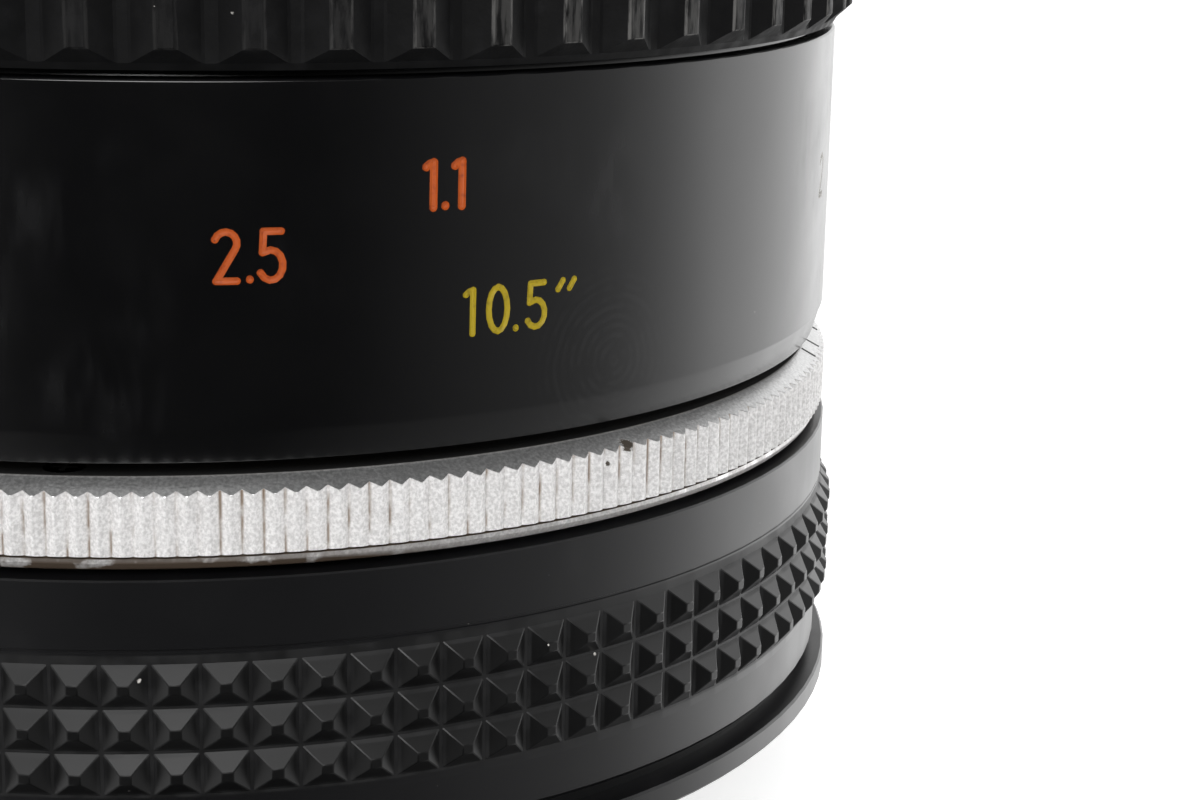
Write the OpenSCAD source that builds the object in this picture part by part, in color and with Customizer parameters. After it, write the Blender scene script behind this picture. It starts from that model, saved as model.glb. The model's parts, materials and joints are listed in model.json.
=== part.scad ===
// Close-focus prime lens for a 35 mm reflex camera.
// Origin: centre of the bayonet flange face, on the optical axis. +Z runs to the front of the lens,
// and the focus index is on the -Y side. Every length is in millimetres.

/* [Overall] */
// Radius of the black focus sleeve
barrel_r = 32.0; // [31.8:0.1:32.2]
// Height of the front rim above the bayonet flange
front_z = 56.0; // [55:0.5:57]
// Depth of the rear light baffle below the bayonet flange
rear_depth = 8.0; // [7:0.5:9]
// Radius of the camera mount's throat that the bayonet tube enters
throat_r = 22.0; // [21.5:0.1:22]
// Radius of the filter thread at its crests
filter_r = 25.6; // [24:0.1:25.6]

/* [Focus] */
// Number of ribs on the rubber grip
rib_count = 64; // [40:1:72]
// Height of a rubber rib above its root
rib_h = 0.65; // [0.4:0.05:1]
// Bottom edge of the rubber grip
grip_z = 33.75; // [32:0.25:35]
// Length of the rubber grip
grip_len = 14.7; // [12:0.1:14.7]
// Forward travel from infinity to half life size
focus_travel = 27.5; // [20:0.5:27.5]

/* [Chrome ring] */
// Number of serrations round the chrome grip ring
serration_count = 240; // [120:10:260]
// Depth of a serration
serration_depth = 0.36; // [0.1:0.02:0.4]

/* [Aperture] */
// Number of knurls round the aperture ring
knurl_count = 104; // [60:2:110]
// Rows of knurls
knurl_rows = 3; // [2:1:4]
// Turn of the aperture ring from smallest to widest
aperture_turn = 49; // [40:1:49]
// Number of iris blades
blade_count = 7; // [7:1:7]
// Radius of the smallest iris opening
iris_small_r = 0.9; // [0.8:0.1:1.5]
// Thickness of an iris blade
blade_t = 0.12; // [0.08:0.01:0.14]

/* [Hidden] */
$fn = 128;
eps = 0.02;               // gap between pieces that are screwed or cemented together
run = 0.08;               // radial running clearance
index_az = -90;           // azimuth of the focus index
rib_phase = 2.8;          // turn of each pattern from +X, so that it stands right against the index
serration_phase = 0.13;
knurl_phase = 0.62;
thread_gap = 0.3;         // gap left between threads drawn as plain cylinders

// Heights of the outer pieces
rim_z = 1.0;
flange_t = 0.9;
skirt_z = 2.8;
knurl_z0 = 5.85;
knurl_z1 = 11.22;
band_z = 11.54;
ring_top_z = 14.39;
chrome_z0 = 14.62;
serr_z0 = 15.26;
chrome_z1 = 18.26;
sleeve_z0 = 18.9;
chamfer_z = 20.15;
sleeve_z1 = 49.7;
filter_z0 = 50.0;

// Radii of the outer pieces
band_r = barrel_r + 0.3;
knurl_r = barrel_r + 0.88;
rim_r = barrel_r + 0.85;
chrome_r = barrel_r + 0.2;
grip_root_r = barrel_r + 0.15;

// Fixed housing
tube_or = 29.0;
tube_ir = 27.7;
tube_z1 = 50.6;
ring_bore_r = tube_or;                    // aperture ring bore
seat_r = ring_bore_r - run;               // seat that the aperture ring turns on
floor_z0 = 2.6;
floor_z1 = 3.6;
rear_hole_r = 15.5;

// Focusing head
head_or = 27.3;
head_ir = 24.9;
head_z0 = 8.5;
head_z1 = 52.4;
web_z0 = 42.6;
web_z1 = 44.0;
key_w = 3.0;
key_z0 = 39.6;
key_z1 = 50.0;
key_az = [110, 290];
skirt_or = 29.9;
skirt_ir = 29.3;

// Iris
iris_z0 = 10.5;
iris_z1 = 14.8;
iris_bore_r = 19.8;
iris_wall_r = 21.2;
blade_z0 = 11.42;
blade_pitch = 0.18;
pivot_r = 16.4;
blade_in_r = 9.6;
blade_out_r = 15.0;
blade_from = -5;
blade_to = 128;
drive_d = 3.2;                            // from a blade's pivot pin to its drive pin
pin_r = 0.45;
cam_z0 = 12.85;
cam_z1 = 13.6;
blade_swing = 2 * asin((blade_in_r - iris_small_r) / (2 * pivot_r));
link_az = 60;
link_w = 3.0;
link_r0 = 22.2;
link_r1 = 24.0;

// Optics: [front vertex z, front radius, rear vertex z, rear radius, semi-diameter].
// A radius is positive where the surface bulges outward and negative where it is hollow.
ELEMENTS = [
    [31.5, 34, 28.1, -150, 13.0],
    [27.1, 22, 23.7, -60, 11.5],
    [21.9, 80, 20.4, -15, 10.0],
    [6.8, -16, 5.4, -40, 9.5],
    [5.37, 40, 0.9, 22, 9.5],
    [0.0, 120, -3.6, 40, 10.5]
];

// ---- helpers ----
function polar(r, a) = [r * cos(a), r * sin(a)];
function sag(r, h) = r - sqrt(r * r - h * h);

module tube(r_out, r_in, z0, z1) {
    translate([0, 0, z0]) difference() {
        cylinder(r = r_out, h = z1 - z0);
        translate([0, 0, -1]) cylinder(r = r_in, h = z1 - z0 + 2);
    }
}

// A ring whose section is the list of [radius, height] points
module turned(section) rotate_extrude() polygon(section);

// A wedge of the full turn, from azimuth a0 to a1, between two heights
module wedge(a0, a1, z0, z1, r = 60) {
    mid = (a0 + a1) / 2;
    translate([0, 0, z0]) linear_extrude(z1 - z0)
        polygon([[0, 0], polar(r, a0), polar(r, (a0 + mid) / 2), polar(r, mid), polar(r, (a1 + mid) / 2), polar(r, a1)]);
}

// Children moved to radius r and height z at azimuth a, with +X pointing outward
module at(a, r, z) rotate([0, 0, a]) translate([r, 0, z]) children();

// A countersunk screw, head up, whose head is flush with z = 0
module sunk_screw(head_r, shank_r, len) difference() {
    union() {
        translate([0, 0, -head_r + shank_r]) cylinder(r1 = shank_r, r2 = head_r, h = head_r - shank_r);
        translate([0, 0, -len]) cylinder(r = shank_r, h = len - head_r + shank_r);
    }
    for (a = [0, 90]) rotate([0, 0, a])
        translate([-head_r * 0.62, -head_r * 0.14, -head_r * 0.3]) cube([head_r * 1.24, head_r * 0.28, head_r]);
}

// The hole that a countersunk screw sits in
module sunk_hole(head_r, shank_r, len) {
    translate([0, 0, -head_r + shank_r]) cylinder(r1 = shank_r + eps, r2 = head_r + eps, h = head_r - shank_r);
    translate([0, 0, -len - eps]) cylinder(r = shank_r + eps, h = len);
    cylinder(r = head_r + eps, h = 1);
}

// Outline of a ribbed ring. Each rib has a flat land, sloped sides and a root, given as parts of the pitch.
function ribbed(n, r_root, r_land, land, root) = [
    for (i = [0:n - 1]) let (p = 360 / n, c = i * p)
        for (k = [[-land / 2, r_land], [land / 2, r_land], [(1 - root) / 2, r_root], [(1 + root) / 2, r_root]])
            polar(k[1], c + k[0] * p)
];

// ---- root: mount, housing and chrome ring ----
mount_screw_az = [18, 90, 162, 234, 306];
mount_screw_r = 26.2;
lever_az = 212;
lever_swing = 22;

module lever_window(z0, z1) intersection() {
    tube(20.42, 18.5, z0, z1);
    wedge(lever_az - 6, lever_az + lever_swing + 6, z0 - 1, z1 + 1);
}

module bayonet_mount() color("silver") difference() {
    union() {
        tube(29.6, 18.0, 0, flange_t);
        tube(throat_r - 0.1, 18.0, -3.6, 0);
        tube(throat_r - 0.1, 20.4, -4.6, -3.6);
        for (a = [30, 150, 270]) intersection() {
            tube(throat_r + 1.6, throat_r - 0.5, -3.6, -2.1);
            wedge(a - 28, a + 28, -4, -1);
        }
    }
    lever_window(-5, 2);
    for (a = mount_screw_az) at(a, mount_screw_r, 0) mirror([0, 0, 1]) sunk_hole(1.7, 0.95, 3.2);
    at(200, 26.4, -1) cylinder(r = 1.1, h = 3, $fn = 48);
    at(56, 25.9, -0.01) cylinder(r = 0.5, h = 0.3, $fn = 48);
}

module mount_screws() color("gainsboro")
    for (a = mount_screw_az) at(a, mount_screw_r, 0) mirror([0, 0, 1]) sunk_screw(1.7, 0.95, 3.2);

baffle_screw_az = [60, 180, 300];

module rear_light_baffle() color("dimgray") difference() {
    union() {
        tube(17.4, 16.4, -rear_depth, 0.6);
        tube(20.2, 16.5, -4.4, -3.6);
    }
    lever_window(-5, 2);
    for (a = baffle_screw_az) at(a, 19.1, -4.4) mirror([0, 0, 1]) sunk_hole(0.8, 0.5, 0.79);
}

module baffle_screws() color("black")
    for (a = baffle_screw_az) at(a, 19.1, -4.4) mirror([0, 0, 1]) sunk_screw(0.8, 0.5, 0.78);

grip_screw_az = [-60, 60, 180];
ball_az = 270;
ball_r = 0.6;                             // click ball

module fixed_housing() color("darkgray") difference() {
    union() {
        tube(seat_r, tube_ir, flange_t + 0.05, 14.8);
        tube(tube_or, tube_ir, 14.8, tube_z1);
        tube(30.6, tube_ir, 14.8, 16.4);
        tube(seat_r, rear_hole_r, floor_z0, floor_z1);
        tube(seat_r, 24.5, flange_t + 0.05, floor_z0);
        tube(18.6 - run, 16.9 + 0.6, flange_t + 0.05, floor_z0);
        for (a = mount_screw_az) intersection() {
            tube(seat_r, 23.6, floor_z1, 4.2);
            wedge(a - 5, a + 5, 3, 5);
        }
    }
    // window for the aperture link, and its sweep
    intersection() {
        tube(31, 26, 4.25, 5.75);
        wedge(link_az - aperture_turn - 7, link_az + 7, 4, 6);
    }
    for (a = mount_screw_az) at(a, mount_screw_r, -0.1) cylinder(r = 0.95 + eps, h = 3.4, $fn = 48);
    for (a = grip_screw_az) at(a, 29.9, 15.0) cylinder(r = 0.6 + eps, h = 3, $fn = 48);
    for (a = key_az) at(a, 26, 0) for (z = [key_z0 + 2.5, key_z1 - 2.5])
        translate([0, 0, z]) rotate([0, 90, 0]) cylinder(r = 0.6 + eps, h = 5, $fn = 48);
    at(ball_az, 26, 6) rotate([0, 90, 0]) cylinder(r = ball_r + 0.04, h = 5, $fn = 48);
    at(ball_az + 24, 26, 6) rotate([0, 90, 0]) cylinder(r = 0.6 + eps, h = 5, $fn = 48);
}

module grip_ring() color("white") difference() {
    union() {
        intersection() {
            translate([0, 0, serr_z0]) linear_extrude(chrome_z1 - serr_z0)
                rotate([0, 0, serration_phase]) polygon([for (i = [0:serration_count - 1]) each
                    [polar(chrome_r, i * 360 / serration_count),
                     polar(chrome_r - serration_depth, (i + 0.5) * 360 / serration_count)]]);
            turned([[20, serr_z0 - 0.1], [chrome_r + 0.1, serr_z0 - 0.1], [chrome_r + 0.1, chrome_z1 - 0.592],
                    [31.16, chrome_z1], [20, chrome_z1]]);
        }
        turned([[20, chrome_z0], [chrome_r - 0.6, chrome_z0], [chrome_r - 0.22, chrome_z0 + 0.35],
                [chrome_r - 0.22, serr_z0 - 0.1], [chrome_r - 0.4, serr_z0], [chrome_r - 0.4, serr_z0 + 0.1],
                [20, serr_z0 + 0.1]]);
    }
    translate([0, 0, chrome_z0 - 1]) cylinder(r = 30.7, h = 16.42 - chrome_z0 + 1);
    translate([0, 0, 16]) cylinder(r = tube_or + eps, h = 4);
    for (a = grip_screw_az) at(a, 29.9, chrome_z1) sunk_hole(0.85, 0.6, 3);
}

module grip_ring_screws() color("silver")
    for (a = grip_screw_az) at(a, 29.9, chrome_z1) sunk_screw(0.85, 0.6, 3);

module linear_keys() color("goldenrod") for (a = key_az) at(a, 0, 0) difference() {
    intersection() {
        translate([26.5, -key_w / 2, key_z0]) cube([3, key_w, key_z1 - key_z0]);
        cylinder(r = tube_ir - eps, h = 60);
    }
    for (z = [key_z0 + 2.5, key_z1 - 2.5])
        translate([26, 0, z]) rotate([0, 90, 0]) cylinder(r = 0.6 + eps, h = 5, $fn = 48);
}

module key_screws() color("silver") for (a = key_az) at(a, 0, 0)
    for (z = [key_z0 + 2.5, key_z1 - 2.5])
        translate([26.6, 0, z]) rotate([0, 90, 0]) cylinder(r = 0.6, h = tube_or - 26.65, $fn = 48);

module click_spring() color("goldenrod") difference() {
    intersection() {
        tube(tube_ir - eps, tube_ir - 0.32, 4.6, 7.4);
        wedge(ball_az - 5, ball_az + 28, 4, 8);
    }
    at(ball_az + 24, 26, 6) rotate([0, 90, 0]) cylinder(r = 0.6 + eps, h = 5, $fn = 48);
}

module click_ball() color("silver") {
    at(ball_az, seat_r + 0.02 - ball_r, 6) sphere(r = ball_r, $fn = 48);
    at(ball_az + 24, 27.1, 6) rotate([0, 90, 0]) cylinder(r = 0.6, h = seat_r - 27.15, $fn = 48);
}

module lever_return_spring() color("silver") intersection() {
    for (k = [0:5]) tube(23.9 - k * 0.0, 23.3, 1.2 + k * 0.18, 1.28 + k * 0.18);
    wedge(lever_az - 62, lever_az - 7, 1, 3);
}

module stop_down_lever() color("silver") {
    tube(21.4, 18.6, 1.2, 2.1);
    intersection() {
        union() {
            tube(20.2, 18.8, -6.2, 1.25);
            tube(24.0, 20.8, 1.2, 2.1);
        }
        wedge(lever_az - 3.2, lever_az + 3.2, -7, 3);
    }
}

// ---- aperture ring ----
knurl_pitch = (knurl_z1 - knurl_z0) / knurl_rows;
recess_r = band_r - 0.1;                  // plain floor on each side of the knurls
groove_r = recess_r + 0.05;               // floor of the grooves between knurls
prong_az = index_az + aperture_turn * 5 / 7;

module aperture_body() turned(concat([
    [ring_bore_r, rim_z], [rim_r - 0.2, rim_z], [rim_r, rim_z + 0.2], [rim_r, rim_z + 1.1],
    [rim_r - 0.1, rim_z + 1.2], [barrel_r - 0.4, rim_z + 1.2], [barrel_r - 0.4, skirt_z],
    [barrel_r + 0.15, skirt_z + 0.15], [barrel_r + 0.25, skirt_z + 0.3], [barrel_r + 0.25, knurl_z0 - 0.4],
    [recess_r, knurl_z0 - 0.3]],
    [for (i = [0:knurl_rows - 1]) each [
        [recess_r, knurl_z0 + (i + 0.03) * knurl_pitch],
        [knurl_r, knurl_z0 + (i + 0.38) * knurl_pitch],
        [knurl_r, knurl_z0 + (i + 0.62) * knurl_pitch],
        [recess_r, knurl_z0 + (i + 0.97) * knurl_pitch]]],
    [[recess_r, band_z - 0.1], [band_r, band_z], [band_r, ring_top_z - 0.25], [band_r - 0.25, ring_top_z],
     [ring_bore_r, ring_top_z]]));

// The V grooves that part the rows into single knurls
module knurl_grooves() translate([0, 0, knurl_z0 - 0.2]) linear_extrude(knurl_z1 - knurl_z0 + 0.3) difference() {
    circle(r = knurl_r + 2);
    rotate([0, 0, knurl_phase]) polygon(ribbed(knurl_count, groove_r, knurl_r + 0.25, 0.06, 0.1));
}

module aperture_ring() color([0.07, 0.07, 0.08]) difference() {
    aperture_body();
    knurl_grooves();
    // detents for the click ball, one a stop
    for (i = [0:7]) at(ball_az + i * aperture_turn / 7, ring_bore_r - 0.55, 6) sphere(r = 0.85, $fn = 32);
    // pocket and screw holes of the link arm
    at(link_az, 0, 0) {
        translate([28, -3.6, 4.1]) cube([2.42, 7.2, 3.2]);
        for (y = [-2.2, 2.2]) translate([30, y, 5.7]) rotate([0, 90, 0]) cylinder(r = 0.5 + eps, h = 5, $fn = 48);
    }
    // seat and screw holes of the coupling prong
    at(prong_az, 0, 0) {
        translate([32.05, -6.2, 2.7]) cube([3, 12.4, 6.4]);
        for (y = [-4.2, 4.2]) translate([30.6, y, 7.2]) rotate([0, 90, 0]) cylinder(r = 0.5 + eps, h = 5, $fn = 48);
    }
}

module coupling_prong() color("silver") at(prong_az, 0, 0) difference() {
    union() {
        translate([32.07, -6.1, 2.8]) cube([0.9, 12.2, 6.2]);
        for (s = [-1, 1]) translate([32.07, s * 3.9 - 1.9, 2.8]) cube([4.4, 3.8, 1.0]);
    }
    for (y = [-4.2, 4.2]) translate([30, y, 7.2]) rotate([0, 90, 0]) cylinder(r = 0.5 + eps, h = 5, $fn = 48);
    for (s = [-1, 1]) translate([34.8, s * 3.9, 2]) cylinder(r = 0.8, h = 3, $fn = 48);
}

module prong_screws() color("gainsboro") at(prong_az, 0, 0) for (y = [-4.2, 4.2]) translate([0, y, 7.2])
    rotate([0, 90, 0]) difference() {
        union() {
            translate([0, 0, 30.7]) cylinder(r = 0.5, h = 2.3, $fn = 48);
            translate([0, 0, 32.99]) cylinder(r = 1.0, h = 0.5, $fn = 48);
        }
        translate([-1.2, -0.12, 33.25]) cube([2.4, 0.24, 1]);
    }

module aperture_link_arm() color("goldenrod") at(link_az, 0, 0) difference() {
    union() {
        intersection() {
            translate([28.98, -3.58, 4.15]) cube([1.4, 7.16, 3.1]);
            tube(40, ring_bore_r + eps, 4, 8);
        }
        translate([link_r0, -2.2, 4.4]) cube([29.6 - link_r0, 4.4, 1.2]);
        translate([link_r0, -link_w / 2, 4.4]) cube([link_r1 - link_r0, link_w, 41.8 - 4.4]);
    }
    for (y = [-2.2, 2.2]) translate([29.3, y, 5.7]) rotate([0, 90, 0]) cylinder(r = 0.5 + eps, h = 5, $fn = 48);
}

module link_arm_screws() color("gainsboro") at(link_az, 0, 0) for (y = [-2.2, 2.2]) translate([0, y, 5.7])
    rotate([0, 90, 0]) translate([0, 0, 29.4]) cylinder(r = 0.5, h = 2.6, $fn = 48);

// ---- focusing ring ----
nut_z1 = 36.0;
nut_screw_az = [30, 150, 270];

module focus_sleeve() color([0.06, 0.06, 0.06]) difference() {
    turned([
        [30.6, sleeve_z0], [barrel_r - 0.5, sleeve_z0], [barrel_r - 0.05, chamfer_z - 0.08],
        [barrel_r, chamfer_z], [barrel_r, grip_z - 0.05], [31.2, grip_z - 0.05],
        [31.2, grip_z + grip_len + 0.05], [barrel_r - 0.1, grip_z + grip_len + 0.05],
        [barrel_r - 0.1, sleeve_z1 - 0.4], [barrel_r - 0.5, sleeve_z1],
        [skirt_or + run, sleeve_z1], [skirt_or + run, 47.2], [30.6, 47.2]
    ]);
    for (a = nut_screw_az) at(a, 29, nut_z1 - 1.2) rotate([0, 90, 0]) cylinder(r = 0.7 + eps, h = 5, $fn = 48);
}

module focus_grip() color([0.13, 0.13, 0.13]) intersection() {
    translate([0, 0, grip_z]) linear_extrude(grip_len) difference() {
        rotate([0, 0, rib_phase]) polygon(ribbed(rib_count, grip_root_r, grip_root_r + rib_h, 0.19, 0.1));
        circle(r = 31.2 + eps);
    }
    turned([[31, grip_z], [grip_root_r - 0.15, grip_z], [grip_root_r + 0.1, grip_z + 0.3],
            [grip_root_r + rib_h, grip_z + 1.1], [grip_root_r + rib_h, grip_z + grip_len - 1.1],
            [grip_root_r + 0.1, grip_z + grip_len - 0.3], [grip_root_r - 0.15, grip_z + grip_len],
            [31, grip_z + grip_len]]);
}

module helicoid_nut() color("darkgoldenrod") difference() {
    tube(30.6 - eps, tube_or + thread_gap, sleeve_z0 + 0.3, nut_z1);
    for (a = nut_screw_az) at(a, 29, nut_z1 - 1.2) rotate([0, 90, 0]) cylinder(r = 0.7 + eps, h = 5, $fn = 48);
}

module nut_screws() color("dimgray") for (a = nut_screw_az) at(a, 29.5, nut_z1 - 1.2)
    rotate([0, 90, 0]) cylinder(r = 0.7, h = 1.6, $fn = 48);

// ---- focusing head ----
module key_groove(z0, z1) for (a = key_az) at(a, 0, 0)
    translate([26.35, -key_w / 2 - 0.1, z0]) cube([3, key_w + 0.2, z1 - z0]);

module lens_barrel() color("silver") difference() {
    union() {
        tube(head_or, head_ir, head_z0, head_z1);
        tube(head_ir + 0.1, 21.6, web_z0, web_z1);
    }
    key_groove(head_z0 - 1, 50.8);
    for (a = [0, 120, 240]) at(a, 23.4, web_z0 - 1) cylinder(r = 0.7 + eps, h = 4, $fn = 48);
}

module travel_stops() color("goldenrod") for (a = key_az) at(a, 0, 0)
    translate([26.35 + eps, -key_w / 2, head_z0 + 0.2]) cube([1.0, key_w, 2.2]);

module filter_ring() color([0.08, 0.08, 0.08]) turned([
    [filter_r + 0.5, head_z1 + eps], [filter_r + 0.5, head_z1 + 0.3], [filter_r, head_z1 + 0.3], [filter_r, front_z - 0.3], [filter_r + 0.3, front_z], [31.0, front_z],
    [31.3, front_z - 0.4], [31.3, filter_z0 + 3.2], [31.0, filter_z0 + 2.9], [31.0, filter_z0 + 2.3],
    [31.3, filter_z0 + 2.0], [31.3, filter_z0 + 0.2], [31.1, filter_z0], [skirt_or, filter_z0],
    [skirt_or, 46.2], [skirt_ir, 46.2], [skirt_ir, 51.0], [head_or + eps, 51.0], [head_or + eps, head_z1 + eps]
]);

module focus_ring_retainer() color("silver") tube(30.3, skirt_or + eps, 46.2, 47.0);

module name_ring() color([0.08, 0.08, 0.08]) turned([
    [22.5, 50.2], [24.8, 50.2], [24.8, 52.2], [24.5, 52.2], [23.0, 51.5], [22.5, 51.5]
]);

well_z0 = 33.8;
well_z1 = 51.5;
well_r0 = 12.9;
well_r1 = 21.6;
well_steps = 14;
well_dz = (well_z1 - 1 - well_z0) / well_steps;
well_dr = (well_r1 - well_r0) / well_steps;

// A stepped cone that keeps stray light off the front element
module front_baffle() color([0.05, 0.05, 0.05]) turned(concat(
    [for (i = [0:well_steps - 1]) each [
        [well_r0 + i * well_dr, well_z0 + i * well_dz],
        [well_r0 + i * well_dr, well_z0 + (i + 1) * well_dz]]],
    [[well_r1, well_z1 - 1], [well_r1, well_z1], [22.46, well_z1], [22.46, well_z1 - 1.3],
     [well_r0 + 1.6, well_z0]]));

module optics_tube() color("silver") difference() {
    turned([[16.0, 15.0], [21.0, 15.0], [21.0, 15.8], [17.4, 15.8], [17.4, 32.0], [21.0, 34.6],
            [21.0, web_z1 + 0.05], [24.7, web_z1 + 0.05], [24.7, web_z1 + 1.2], [20.3, web_z1 + 1.2],
            [19.6, web_z1 - 2.0], [19.6, 35.0], [16.0, 34.0]]);
    for (a = [0, 120, 240]) at(a, 23.4, web_z1 + 1.2) sunk_hole(1.1, 0.7, 2.4);
}

module optics_tube_screws() color("dimgray")
    for (a = [0, 120, 240]) at(a, 23.4, web_z1 + 1.2) sunk_screw(1.1, 0.7, 2.4);

// One glass element, from the table above
module element(i) {
    e = ELEMENTS[i];
    h = e[4];
    z_front = e[0] + (e[1] > 0 ? 0 : sag(-e[1], h));
    z_rear = e[2] - (e[3] > 0 ? 0 : sag(-e[3], h));
    color([0.7, 0.8, 0.85, 0.5]) difference() {
        intersection() {
            translate([0, 0, z_rear]) cylinder(r = h, h = z_front - z_rear);
            if (e[1] > 0) translate([0, 0, e[0] - e[1]]) sphere(r = e[1], $fn = 200);
            if (e[3] > 0) translate([0, 0, e[2] + e[3]]) sphere(r = e[3], $fn = 200);
        }
        if (e[1] < 0) translate([0, 0, e[0] - e[1]]) sphere(r = -e[1], $fn = 200);
        if (e[3] < 0) translate([0, 0, e[2] + e[3]]) sphere(r = -e[3], $fn = 200);
    }
}

module lens_element_1() element(0);
module lens_element_2() element(1);
module lens_element_3() element(2);
module lens_element_4() element(3);
module lens_element_5() element(4);
module lens_element_6() element(5);

// Heights where each element's edge meets its cell
function front_edge(i) = ELEMENTS[i][0] - sign(ELEMENTS[i][1]) * sag(abs(ELEMENTS[i][1]), ELEMENTS[i][4]);
function rear_edge(i) = ELEMENTS[i][2] + sign(ELEMENTS[i][3]) * sag(abs(ELEMENTS[i][3]), ELEMENTS[i][4]);

module front_cell() color([0.1, 0.1, 0.1]) turned([
    [9.2, 15.7], [15.95, 15.7], [15.95, 33.4], [14.6, 33.4], [14.6, front_edge(0) + eps],
    [13.0 + eps, front_edge(0) + eps], [13.0 + eps, rear_edge(0) - eps],
    [11.5 + eps, rear_edge(0) - eps], [11.5 + eps, rear_edge(1) - eps], [10.0 + eps, rear_edge(1) - eps],
    [10.0 + eps, rear_edge(2) - eps], [9.2, rear_edge(2) - eps]
]);

module front_retaining_ring() color([0.1, 0.1, 0.1]) turned([
    [12.2, front_edge(0) + 0.75], [12.9, front_edge(0) + 0.03], [14.5, front_edge(0) + 0.03],
    [14.5, 33.3], [13.6, 33.3]
]);

module front_spacer() color([0.1, 0.1, 0.1]) tube(11.5 - eps, 10.9, front_edge(1) + 0.45, rear_edge(0) - 0.05);

module middle_spacer() color([0.1, 0.1, 0.1]) tube(10.0 - eps, 9.4, front_edge(2) + 0.1, rear_edge(1) - 0.05);

// ---- iris ----
function pivot(i) = polar(pivot_r, i * 360 / blade_count);
drive_tilt = -90 - blade_swing / 2;

module iris_housing() color([0.15, 0.15, 0.15]) difference() {
    union() {
        tube(iris_wall_r, 10.4, iris_z0, iris_z0 + 0.8);
        tube(iris_wall_r, iris_bore_r, iris_z0, iris_z1);
        tube(14.6, 13.2 + eps, 7.6, iris_z0);
    }
    for (i = [0:blade_count - 1]) translate([pivot(i)[0], pivot(i)[1], iris_z0 - 1])
        cylinder(r = pin_r + run, h = 3, $fn = 32);
    intersection() {
        tube(30, 19, cam_z0 - 0.15, cam_z1 + 0.15);
        wedge(link_az - aperture_turn - 10, link_az + 10, 12, 15);
    }
}

module iris_retainer() color([0.15, 0.15, 0.15]) tube(iris_bore_r - eps, 10.4, cam_z1 + 0.2, cam_z1 + 0.9);

// Blade outline wide open, with its pivot at azimuth 0
module blade_shape() {
    intersection() {
        difference() {
            circle(r = blade_out_r);
            circle(r = blade_in_r);
        }
        polygon([[0, 0], for (k = [0:4]) polar(30, blade_from + k * (blade_to - blade_from) / 4)]);
    }
    translate([pivot_r, 0]) {
        circle(r = 1.25, $fn = 48);
        translate([-2.4, -1.2]) square([2.4, 2.4]);
        rotate(drive_tilt) {
            translate([drive_d, 0]) circle(r = 1.05, $fn = 48);
            translate([0, -1.0]) square([drive_d, 2.0]);
        }
    }
}

// Blade i, closed to the smallest opening. Each blade lies in its own layer.
module iris_blade(i) color([0.3, 0.3, 0.32]) rotate([0, 0, i * 360 / blade_count])
    translate([pivot_r, 0, blade_z0 + i * blade_pitch]) rotate([0, 0, blade_swing]) {
        translate([-pivot_r, 0, 0]) linear_extrude(blade_t) blade_shape();
        translate([0, 0, iris_z0 + 0.1 - blade_z0 - i * blade_pitch])
            cylinder(r = pin_r, h = blade_z0 + i * blade_pitch - iris_z0 - 0.05, $fn = 32);
        rotate([0, 0, drive_tilt]) translate([drive_d, 0, blade_t / 2])
            cylinder(r = pin_r, h = cam_z1 - 0.1 - blade_z0 - i * blade_pitch, $fn = 32);
    }

module iris_blade_1() iris_blade(0);
module iris_blade_2() iris_blade(1);
module iris_blade_3() iris_blade(2);
module iris_blade_4() iris_blade(3);
module iris_blade_5() iris_blade(4);
module iris_blade_6() iris_blade(5);
module iris_blade_7() iris_blade(6);

// Where the drive pin of blade 0 lies in the cam ring, once the cam has turned by g
function turned_by(p, a) = [p[0] * cos(a) - p[1] * sin(a), p[0] * sin(a) + p[1] * cos(a)];
function slot_at(g) = turned_by(
    [pivot_r, 0] + polar(drive_d, drive_tilt + blade_swing * (1 - g / aperture_turn)), g);
slot_w = pin_r + 0.15;
slot_n = 14;
function slot_normal(g) = let (d = slot_at(g + 0.1) - slot_at(g - 0.1)) [-d[1], d[0]] / norm(d);

module cam_slot() {
    polygon(concat(
        [for (k = [0:slot_n]) let (g = k * aperture_turn / slot_n) slot_at(g) + slot_w * slot_normal(g)],
        [for (k = [slot_n:-1:0]) let (g = k * aperture_turn / slot_n) slot_at(g) - slot_w * slot_normal(g)]));
    for (g = [0, aperture_turn]) translate(slot_at(g)) circle(r = slot_w, $fn = 32);
}

module iris_cam_ring() color("goldenrod") translate([0, 0, cam_z0]) linear_extrude(cam_z1 - cam_z0) {
    difference() {
        circle(r = iris_bore_r - 0.3);
        circle(r = 10.2);
        for (i = [0:blade_count - 1]) rotate(i * 360 / blade_count) cam_slot();
    }
    rotate(link_az) for (s = [-1, 1])
        translate([iris_bore_r - 0.6, s * (link_w / 2 + 0.75) - 0.6]) square([5, 1.2]);
}

// ---- rear cell ----
module rear_cell() color([0.1, 0.1, 0.1]) turned([
    [8.8, front_edge(3) + eps], [8.8, iris_z0 - 0.05], [13.2, iris_z0 - 0.05], [13.2, 3.0], [12.8, 2.6],
    [12.8, -4.6], [11.6, -4.6], [11.6, rear_edge(5) - eps], [10.5 + eps, rear_edge(5) - eps],
    [10.5 + eps, 0.6], [9.5 + eps, 1.4], [9.5 + eps, front_edge(3) + eps]
]);

module rear_spacer() color([0.1, 0.1, 0.1]) tube(9.5 - eps, 8.9, front_edge(5) + 0.15, rear_edge(4) - 0.35);

module rear_retaining_ring() color([0.1, 0.1, 0.1]) tube(11.58, 9.6, -4.5, rear_edge(5) - 0.35);

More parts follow.
